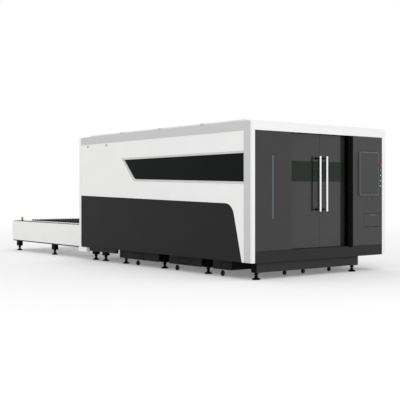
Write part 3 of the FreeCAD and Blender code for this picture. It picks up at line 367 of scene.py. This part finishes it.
AMBER = two_tone(
    finish("amber_lens", (0.60, 0.30, 0.07), 0.2, mottle=0.1, grain=240, bump=0.02),
    (0.05, 0.022, 0.012), "Z", low("table_lamps", 2) + LAMP_STEM_HIGH)

# Base plates and beams: the front 0.25 m is painted lighter than the rest, painted light standing for
# the brightly lit front and lifting the shade under the skirt.
LIT_FRONT_DEEP = 0.25
BASE_PLATE_LIT_FRONT = two_tone(
    finish("base_plate_paint_lit_front", (0.019, 0.019, 0.019), 0.5, mottle=0.15, grain=160, bump=0.05,
           specular=0.08),
    (0.033, 0.033, 0.033), "Y", FRONT + LIT_FRONT_DEEP)

NODE_FINISH = {
    WHITE: ("upper_panel_left", "upper_panel_right", "rear_wall"),
    ROOF_WHITE: ("roof_panels",),
    FRAME_WHITE: ("front_portal", "rear_portal"),
    GREY: ("side_frames", "roof_lugs"),
    RIM_PAINTED_SHADE: ("window_frame_left",),
    TABLE_WHITE: ("table_covers", "table_caps"),
    DOOR: ("door_leaf_left", "door_leaf_right"),
    FIXED: ("front_fixed_panel",),
    SKIRT: ("front_skirt",),
    SIDE_DARK: ("lower_panel_left", "lower_panel_right"),
    CONSOLE: ("control_panel", "keyboard_flap"),
    TRIM: ("black_trim",),
    BASE_PLATE_LIT_FRONT: ("bed_plates", "bed_beams"),
    BED: ("bed_cross_beams", "table_frame", "enclosure_frame",
          "pallet_rails", "pallet_upper_frame", "pallet_lower_frame"),
    BLACK: ("foot_brackets",),
    TRAY: ("scrap_tray_front", "scrap_tray_middle", "scrap_tray_rear"),
    CABINET: ("electrical_cabinet",),
    STEEL: ("gantry_rails", "gantry_saddles", "drive_shaft", "door_track"),
    FOOT: ("levelling_feet",),
    SLAT: ("pallet_upper_slats", "pallet_lower_slats"),
    COLLAR: ("button_collars",),
    PULL: ("door_handle_left", "door_handle_right"),
    GANTRY: ("gantry_beam", "carriage"),
    HEAD: ("cutting_head",),
    BEZEL: ("operator_screen",),
    LIGHT: ("light_strip",),
    RED: ("emergency_stop",),
    GREEN_BUTTON: ("push_button_1",),
    BUTTON: tuple(f"push_button_{k}" for k in range(2, 5)),
    AMBER: ("table_lamps",),
    RUBBER: ("tray_casters_front", "tray_casters_middle", "tray_casters_rear"),
    SIDE_GLASS: ("window_glass_left",),
    DOOR_GLASS: ("door_glass_left", "door_glass_right"),
}
for material, names in NODE_FINISH.items():
    for node in names:
        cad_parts[node].data.materials.clear()
        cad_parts[node].data.materials.append(material)


# ---------------------------------------------------------------- pallets
TOOTH = 58 * MM
TOOTH_DEEP = 20 * MM
SLAT_APART = 20 * MM
ROLLER_RADIUS = 26 * MM
ROLLER_RISE = 40 * MM
ROLLER_FROM_END = 0.15
ROLLERS_PER_SIDE = 6


def toothed_slats(name, body):
    """Slats whose top edge is a zigzag: height = top less depth times the triangle wave of x."""
    node = f"{name}_slats"
    x0, x1 = low(node, 0), high(node, 0)
    z0, z1 = low(node, 2), high(node, 2)
    teeth = round((x1 - x0) / TOOTH)
    x = np.linspace(x0, x1, 2 * teeth + 1)
    top = z1 - TOOTH_DEEP * (np.arange(len(x)) % 2 == 0)
    bottom = np.full(len(x), z0)
    skins = []
    for y0, y1 in clusters(node, 1, SLAT_APART):
        rings = np.stack([
            np.stack([x, np.full(len(x), y0), bottom], axis=-1),
            np.stack([x, np.full(len(x), y1), bottom], axis=-1),
            np.stack([x, np.full(len(x), y1), top], axis=-1),
            np.stack([x, np.full(len(x), y0), top], axis=-1),
        ], axis=1)
        skins.append(tube(rings))
    piece(f"{name}_toothed_slats", joined(skins), SLAT, body, stands_for=(node,))


def pallet_fittings(name, body):
    """Guide rollers along both sides of a pallet's frame: a flat profile turned about X."""
    node = f"{name}_frame"
    z = low(node, 2) + ROLLER_RISE
    radius = ROLLER_RADIUS
    profile = [(0, radius * 0.2), (0, radius), (8 * MM, radius), (9 * MM, radius * 0.8),
               (9 * MM, radius * 0.2)]
    near, far = low(node, 1) + ROLLER_FROM_END, high(node, 1) - ROLLER_FROM_END
    sides = ((low(node, 0) + 0.5 * MM, "-x"), (high(node, 0) - 0.5 * MM, "x"))
    rollers = [turned(profile, (x, y, z), axis, 20)
               for y in np.linspace(near, far, ROLLERS_PER_SIDE) for x, axis in sides]
    piece(f"{name}_guide_rollers", joined(rollers), STEEL, body, smooth=True)


for level in ("upper", "lower"):
    toothed_slats(f"pallet_{level}", f"pallet_{level}")
    pallet_fittings(f"pallet_{level}", f"pallet_{level}")


# ---------------------------------------------------------------- feet
NUT_RADIUS = 27 * MM
NUT_HIGH = 18 * MM
LOWER_NUT_RISE = 36.5 * MM
CONE_DROP = 41 * MM
PAD_RISE = 5 * MM


def feet_details():
    """Lock nuts (a hexagon carried up with eased ends), a cone collar and a pad rim (profiles
    turned about Z) on every foot."""
    feet = "levelling_feet"
    places = spots(feet, 0.1)
    under = low("foot_brackets", 2)
    across_feet = max(x for x, _ in places) - min(x for x, _ in places)
    pad = (high(feet, 0) - low(feet, 0) - across_feet) / 2
    nut = [(0, NUT_RADIUS * 0.9), (2 * MM, NUT_RADIUS), (NUT_HIGH - 2 * MM, NUT_RADIUS),
           (NUT_HIGH, NUT_RADIUS * 0.9)]
    cone = [(0, 17 * MM), (4 * MM, 22 * MM), (20 * MM, 34 * MM), (22 * MM, 34 * MM)]
    rim = [(0, pad - 2 * MM), (1 * MM, pad - 0.3 * MM), (6 * MM, pad - 0.3 * MM),
           (8 * MM, pad - 3 * MM)]
    nuts, cones, rims = [], [], []
    for x, y in places:
        nuts.append(turned(nut, (x, y, under - NUT_HIGH - 0.5 * MM), "z", 6))
        nuts.append(turned(nut, (x, y, LOWER_NUT_RISE), "z", 6, 0.04))
        cones.append(turned(cone, (x, y, under - CONE_DROP), "z", 28))
        rims.append(turned(rim, (x, y, PAD_RISE), "z", 40))
    piece("foot_lock_nuts", joined(nuts), FOOT, "machine")
    piece("foot_cone_collars", joined(cones), FOOT, "machine", smooth=True)
    piece("foot_pad_rims", joined(rims), FOOT, "machine", smooth=True)


feet_details()


# ---------------------------------------------------------------- casters and trays
WHEEL_RADIUS = 37 * MM
WHEEL_HALF = 13 * MM
TREAD_SWELL = 7 * MM
CHEEK_OUT = 17.5 * MM
CHEEK_THICK = 3 * MM
PIN_RADIUS = 4 * MM
PIN_HALF = 22 * MM


def caster_set(name):
    """Casters of a tray. The tyre's profile swells as the sine of its half turn and is turned about
    Y with the hub; each fork is two rounded cheeks, a top plate and a pin."""
    node, body = f"tray_casters_{name}", f"tray_{name}"
    radius, half, swell = WHEEL_RADIUS, WHEEL_HALF, TREAD_SWELL
    tyre = [(0, radius * 0.62)]
    tyre += [(half - half * math.cos(a), radius - swell + swell * math.sin(a))
             for a in np.linspace(0, math.pi, 9)]
    tyre += [(2 * half, radius * 0.62)]
    hub = [(0, 6 * MM), (0, radius * 0.66), (2 * MM, radius * 0.7), (2 * half, radius * 0.7),
           (2 * half + 2 * MM, radius * 0.66), (2 * half + 2 * MM, 6 * MM)]
    pin = [(0, PIN_RADIUS), (2 * PIN_HALF, PIN_RADIUS)]
    cheek = rounded(30 * MM, 62 * MM, 14 * MM)
    top = high(node, 2)
    z = low(node, 2) + radius
    tyres, hubs, forks = [], [], []
    for x, y in spots(node, 0.05):
        tyres.append(turned(tyre, (x, y - half, z), "y", 32))
        hubs.append(turned(hub, (x, y - half - 1 * MM, z), "y", 24))
        for side in (-1, 1):
            at = (x, y + side * CHEEK_OUT - CHEEK_THICK / 2, z + 20 * MM)
            forks.append(stacked(None, [(0, cheek), (CHEEK_THICK, cheek)], at, "y"))
        forks.append(block((x - 28 * MM, x + 28 * MM), (y - 19 * MM, y + 19 * MM),
                           (top - 5 * MM, top)))
        forks.append(turned(pin, (x, y - PIN_HALF, z), "y", 12))
    piece(f"{node}_tyres", joined(tyres), RUBBER, body, smooth=True,
          stands_for=(node,))
    piece(f"{node}_hubs", joined(hubs), FORK, body, smooth=True)
    piece(f"{node}_forks", joined(forks), FORK, body)


BORDER_HALF_HIGH = 42 * MM
BORDER_HALF_BAR = 2 * MM
BORDER_THICK = 3 * MM
PULL_OUT = 26 * MM
PULL_RADIUS = 5 * MM


def tray_front(name):
    """Plate border and bent pull on a tray's apron. The pull's path stands out by the square root of
    the distance from its nearer end, up to a limit."""
    node, body = f"scrap_tray_{name}", f"tray_{name}"
    x, y, z = low(node, 0), middle(node, 1), middle(node, 2)
    wide = min(0.30, (high(node, 1) - low(node, 1)) * 0.4)
    tall, bar, face = BORDER_HALF_HIGH, BORDER_HALF_BAR, (x - BORDER_THICK, x)
    level = [block(face, (y - wide / 2, y + wide / 2), (z + s * tall - bar, z + s * tall + bar))
             for s in (-1, 1)]
    upright = [block(face, (y + s * wide / 2 - bar, y + s * wide / 2 + bar), (z - tall, z + tall))
               for s in (-1, 1)]
    piece(f"tray_{name}_plate_border", joined(level + upright), BLACK, body)
    t = np.linspace(0, 1, 25)
    out = PULL_OUT * np.clip(np.minimum(t, 1 - t) * 8, 0, 1) ** 0.5
    path = np.stack([x - out, y + (t - 0.5) * wide * 0.55, np.full(len(t), z)], axis=-1)
    piece(f"tray_{name}_pull", carried(circle(12) * PULL_RADIUS, path, (0, 0, 1)), FORK, body,
          smooth=True)


for name in ("front", "middle", "rear"):
    caster_set(name)
    tray_front(name)


# ---------------------------------------------------------------- console
SCREEN_RIM = 15 * MM
SOCKET_SIDE = 33 * MM
SOCKET_DROP = 47 * MM
FLAP_LIP_WIDE = 0.16
FLAP_LIP_DROP = 24 * MM
CAP_EDGE = 1.2 * MM


def console():
    """Display glass in its bezel and the flap's finger lip (rounded plates with a chamfer), the
    service socket and the faces of the push buttons (profiles turned about Y)."""
    screen, flap = "operator_screen", "keyboard_flap"
    wide = high(screen, 0) - low(screen, 0) - 2 * SCREEN_RIM
    tall = high(screen, 2) - low(screen, 2) - 2 * SCREEN_RIM
    x, z = middle(screen, 0), middle(screen, 2)
    glass = plate(wide, tall, 20 * MM, 1.6 * MM, (x, low(screen, 1) + 3 * MM, z), "-y", 0.8 * MM)
    piece("screen_display_glass", glass, DISPLAY, "machine")
    socket = [(0, 15 * MM), (2 * MM, 15 * MM), (3 * MM, 13 * MM), (3 * MM, 8 * MM), (1 * MM, 7 * MM)]
    at = (x + SOCKET_SIDE, low("control_panel", 1), low(screen, 2) - SOCKET_DROP)
    piece("service_socket", turned(socket, at, "-y", 28), BEZEL, "machine",
          smooth=True)
    at = (middle(flap, 0), low(flap, 1), high(flap, 2) - FLAP_LIP_DROP)
    lip = plate(FLAP_LIP_WIDE, 14 * MM, 6.9 * MM, 1.6 * MM, at, "-y")
    piece("flap_finger_lip", lip, BEZEL, "flap")
    for k in range(1, 5):
        node = f"push_button_{k}"
        radius = (high(node, 0) - low(node, 0)) / 2
        cap = [(-3 * MM, radius - CAP_EDGE), (-0.2 * MM, radius - CAP_EDGE), (0, radius - 3 * MM)]
        at = (middle(node, 0), low(node, 1) + 1 * MM, middle(node, 2))
        piece(f"{node}_face", turned(cap, at, "-y", 28), GREEN_BUTTON if k == 1 else BUTTON,
              f"button_{k}", smooth=True)


console()


# ---------------------------------------------------------------- side, table and rear details
TAB_DEPTHS = (4.557, 3.906)
TAB_DROP = 44 * MM


def side_tabs():
    """Two slotted tabs under the side band near the back, as rounded plates with a chamfer."""
    tabs, slots = [], []
    for depth in TAB_DEPTHS:
        at = (low("upper_panel_left", 0), FRONT + depth, high("upper_panel_left", 2) - TAB_DROP)
        tabs.append(plate(60 * MM, 37 * MM, 9 * MM, 3.5 * MM, at, "-x"))
        slots.append(plate(36 * MM, 11 * MM, 5 * MM, 4.2 * MM, at, "-x"))
    piece("side_tabs", joined(tabs), GREY, "machine")
    piece("side_tab_slots", joined(slots), FORK, "machine")


STRIP_HIGH = 13 * MM
STRIP_SCREWS = 16
STRIP_SCREW_FROM_END = 0.1


def wear_strips():
    """Dark eased bar along the top of each side beam of the table, with a row of domed screw heads
    (a stepped profile turned about Z)."""
    head = [(0, 7 * MM), (3 * MM, 6 * MM), (4 * MM, 3 * MM)]
    heads, strips = [], []
    y0, y1 = low("table_caps", 1), high("table_caps", 1)
    z = low("table_caps", 2)
    for edge in (low, high):
        x0, x1 = sorted((edge("table_caps", 0), edge("table_frame", 0)))
        strips.append(block((x0 + 6 * MM, x1 - 4 * MM), (y0, y1), (z, z + STRIP_HIGH)))
        for y in np.linspace(y0 + STRIP_SCREW_FROM_END, y1 - STRIP_SCREW_FROM_END, STRIP_SCREWS):
            heads.append(turned(head, ((x0 + x1) / 2, y, z + STRIP_HIGH - 0.5 * MM), "z", 14))
    piece("table_wear_strips", joined(strips), SEAL, "machine")
    piece("table_strip_screws", joined(heads), STEEL, "machine", smooth=True)


LOUVRE_PITCH = 30 * MM
BLADE = np.array([(-9, 0.0), (-9, 4.2), (-6, 4.6), (10, 0.4), (10, 0.0)]) * MM


def louvre_bank(name, at, wide, tall, axis, paint, slot):
    """Pressed louvres: each blade's low wedge profile is carried across and shrinks to its ends as
    the square root of one less the sixth power of the distance from the middle."""
    across_dir, up_dir, out = (np.array(v, float) for v in AXES[axis])
    t = np.linspace(-1, 1, 15)[:, None, None]
    swell = np.sqrt(np.clip(1 - t ** 6, 0, 1))
    blades = []
    for k in range(int(tall / LOUVRE_PITCH)):
        rise = -tall / 2 + LOUVRE_PITCH * (k + 0.5)
        rings = (np.asarray(at) + t * wide / 2 * across_dir
                 + (rise + BLADE[None, :, :1] * swell) * up_dir
                 + BLADE[None, :, 1:] * swell * out)
        blades.append(tube(rings))
    piece(name, joined(blades), paint, "machine")


RIGHT_LOUVRE_DEPTHS = (1.05, 2.25)
RIGHT_LOUVRE_HEIGHT = 0.62
RIGHT_LOUVRE_SIZE = (0.62, 0.36)
LATCH_DEPTHS = (1.0, 2.2, 3.4)
LATCH_HEIGHT = 1.55


def right_side():
    """Two louvre banks in the lower panel and three latches on the upper one."""
    x = high("lower_panel_right", 0)
    for k, depth in enumerate(RIGHT_LOUVRE_DEPTHS):
        louvre_bank(f"right_louvres_{k + 1}", (x, FRONT + depth, RIGHT_LOUVRE_HEIGHT),
                    *RIGHT_LOUVRE_SIZE, "x", SIDE_DARK, "dark_paint")
    upper = high("upper_panel_right", 0)
    latches = [plate(34 * MM, 110 * MM, 12 * MM, 4 * MM, (upper, FRONT + depth, LATCH_HEIGHT), "x")
               for depth in LATCH_DEPTHS]
    piece("right_latches", joined(latches), FORK, "machine")


REAR_LOUVRE_SIDE = 0.75
REAR_LOUVRE_HEIGHT = 1.72
REAR_LOUVRE_SIZE = (0.5, 0.33)
DOORWAY_TOP = 0.80


def rear_details():
    """Louvre banks on the rear wall and a rubber lip, an eased bar, across its doorway."""
    x, y = middle("rear_wall", 0), high("rear_wall", 1)
    for k, side in enumerate((-REAR_LOUVRE_SIDE, REAR_LOUVRE_SIDE)):
        louvre_bank(f"rear_louvres_{k + 1}", (x + side, y, REAR_LOUVRE_HEIGHT), *REAR_LOUVRE_SIZE,
                    "y", WHITE, "white_paint")
    inset = 20 * MM
    lip = block((low("table_covers", 0) + inset, high("table_covers", 0) - inset),
                (y - 30 * MM, y + 6 * MM), (DOORWAY_TOP - 12 * MM, DOORWAY_TOP + 10 * MM))
    piece("doorway_rubber_lip", lip, SEAL, "machine")


ROOF_SEAM_DEPTHS = (0.18, 1.164, 2.289, 3.425, 4.55)
ROOF_SCREW_INSET = 0.06
ROOF_SCREW_COLUMNS = 5


def roof_screws():
    """Low domed screws, a stepped profile turned about Z, in three rows on each roof cover."""
    head = [(-3 * MM, 8 * MM), (-1.5 * MM, 7.5 * MM), (-0.2 * MM, 3 * MM)]
    inset = ROOF_SCREW_INSET
    columns = np.linspace(low("roof_panels", 0) + inset, high("roof_panels", 0) - inset,
                          ROOF_SCREW_COLUMNS)
    top = high("roof_panels", 2)
    seams = [FRONT + depth for depth in ROOF_SEAM_DEPTHS]
    screws = []
    for near, far in zip(seams, seams[1:]):
        for y in (near + inset, (near + far) / 2, far - inset):
            screws += [turned(head, (x, y, top), "z", 12) for x in columns]
    piece("roof_screws", joined(screws), STEEL, "machine", smooth=True)


SEAL_WIDE = 10 * MM
SEAL_SPAN = (0.05, 1.68)


def door_seals():
    """Rubber lips down the meeting edges of the two leaves and brush strips along their foot, all
    eased bars."""
    for side, edge, sign in (("left", high, -1), ("right", low, 1)):
        node, body = f"door_leaf_{side}", f"door_{side}"
        x0, x1 = low(node, 0), high(node, 0)
        y0, y1 = low(node, 1), high(node, 1)
        foot = low(node, 2)
        x = sorted((edge(node, 0), edge(node, 0) + sign * SEAL_WIDE))
        lip = block(x, (y1 - 8 * MM, y1 - 1 * MM), (foot + SEAL_SPAN[0], foot + SEAL_SPAN[1]))
        piece(f"door_{side}_edge_seal", lip, SEAL, body)
        brush = block((x0 + 8 * MM, x1 - 8 * MM), (y0 + 4 * MM, y0 + 12 * MM),
                      (foot - 6 * MM, foot + 6 * MM))
        piece(f"door_{side}_brush", brush, SEAL, body)


LINK_PITCH = 55 * MM
LINK_LONG = 48 * MM
BAND_RISES = (0.16, 0.30, 0.42)
HEAD_AXIS_IN = 48 * MM


def gantry_details():
    """Cable carrier of eased links on the beam, motor on the carriage and three bands round the
    head (profiles turned about Z)."""
    beam, head = "gantry_beam", "cutting_head"
    y, z = middle(beam, 1), high(beam, 2)
    links = [block((x, x + LINK_LONG), (y - 40 * MM, y + 40 * MM), (z + 1 * MM, z + 46 * MM))
             for x in np.arange(low(beam, 0) + 0.25, middle(beam, 0) + 0.1, LINK_PITCH)]
    piece("gantry_cable_carrier", joined(links), SEAL, "gantry")
    motor = [(0, 42 * MM), (60 * MM, 42 * MM), (64 * MM, 36 * MM), (110 * MM, 36 * MM),
             (114 * MM, 30 * MM)]
    x = middle(head, 0)
    piece("head_drive_motor", turned(motor, (x, middle("carriage", 1), high("carriage", 2)), "z", 28),
          FORK, "carriage", smooth=True)
    band = [(0, 50 * MM), (3 * MM, 52 * MM), (22 * MM, 52 * MM), (25 * MM, 50 * MM)]
    for k, rise in enumerate(BAND_RISES):
        at = (x, low(head, 1) + HEAD_AXIS_IN, low(head, 2) + rise)
        piece(f"head_band_{k + 1}", turned(band, at, "z", 40), FORK if k % 2 else STEEL, "head",
              smooth=True)


side_tabs()
wear_strips()
right_side()
rear_details()
roof_screws()
door_seals()
gantry_details()


# ---------------------------------------------------------------- floor, light and camera
FLOOR_SIZE = 400
# Floor grey ramp: painted shade, darkest near the machine and fading to white further away.
FLOOR_PAINTED_SHADE = {"From Min": 4.0, "From Max": 22.0, "To Min": 0.69, "To Max": 0.80}
FLOOR_GLOW = 0.20
LAMPS = (
    ("front_key", (-4.0, -16.0, 9.0), (0.0, -4.0, 1.0), 420),
    ("side_fill", (-15.0, -2.0, 8.0), (-1.4, 0.0, 1.0), 130),
)
LAMP_SIZE = 8.0
CAMERA_PLACE = (-9.068, -12.600, 1.2416)
CAMERA_TURN = math.radians(-37.954)
CAMERA_LENS = 73.4
CAMERA_SHIFT = -0.0175


def floor_paint():
    """Matt floor with painted shade: its grey is darkest near the machine and lightens to white with
    the distance from it.
    """
    material = bpy.data.materials.new("studio_floor_paint")
    material.use_nodes = True
    nodes, links = material.node_tree.nodes, material.node_tree.links
    place = nodes.new("ShaderNodeTexCoord")
    reach = nodes.new("ShaderNodeVectorMath")
    reach.operation = "LENGTH"
    links.new(place.outputs["Object"], reach.inputs[0])
    floor_shade_ramp = nodes.new("ShaderNodeMapRange")
    floor_shade_ramp.interpolation_type = "SMOOTHSTEP"
    for socket, value in FLOOR_PAINTED_SHADE.items():
        floor_shade_ramp.inputs[socket].default_value = value
    links.new(reach.outputs["Value"], floor_shade_ramp.inputs["Value"])
    shader = nodes["Principled BSDF"]
    links.new(floor_shade_ramp.outputs["Result"], shader.inputs["Base Color"])
    shader.inputs["Roughness"].default_value = 0.9
    shader.inputs["Specular IOR Level"].default_value = 0.0
    shader.inputs["Emission Color"].default_value = (1, 1, 1, 1)
    shader.inputs["Emission Strength"].default_value = FLOOR_GLOW
    return material


def placed(name, data, place, turn):
    """Link a lamp or a camera into the scene at its place."""
    holder = bpy.data.objects.new(name, data)
    bpy.context.scene.collection.objects.link(holder)
    holder.location = place
    holder.rotation_euler = turn
    return holder


def studio():
    """Pale floor with painted shade near the machine that fades into a white room, a soft front key and
    a weaker side fill.
    """
    bpy.ops.mesh.primitive_plane_add(size=FLOOR_SIZE, location=(0, 0, 0))
    floor = bpy.context.object
    floor.name = "studio_floor"
    floor.data.materials.append(floor_paint())
    world = bpy.data.worlds.new("studio")
    world.use_nodes = True
    world.node_tree.nodes["Background"].inputs["Color"].default_value = (1, 1, 1, 1)
    world.node_tree.nodes["Background"].inputs["Strength"].default_value = 1.0
    bpy.context.scene.world = world
    for name, place, aim, power in LAMPS:
        lamp = bpy.data.lights.new(name, "AREA")
        lamp.size = LAMP_SIZE
        lamp.energy = power
        toward = np.array(aim) - np.array(place)
        yaw = math.atan2(toward[0], toward[1])
        tilt = math.atan2(math.hypot(toward[0], toward[1]), -toward[2])
        placed(name, lamp, place, (tilt, 0, -yaw))


def camera():
    """Level camera to the front left, turned so that both faces show."""
    eye = bpy.data.cameras.new("camera")
    eye.sensor_width = 36
    eye.lens = CAMERA_LENS
    eye.shift_y = CAMERA_SHIFT
    eye.clip_end = 500
    bpy.context.scene.camera = placed("camera", eye, CAMERA_PLACE, (math.pi / 2, 0, CAMERA_TURN))


studio()
camera()
bpy.context.scene.view_settings.view_transform = "Standard"
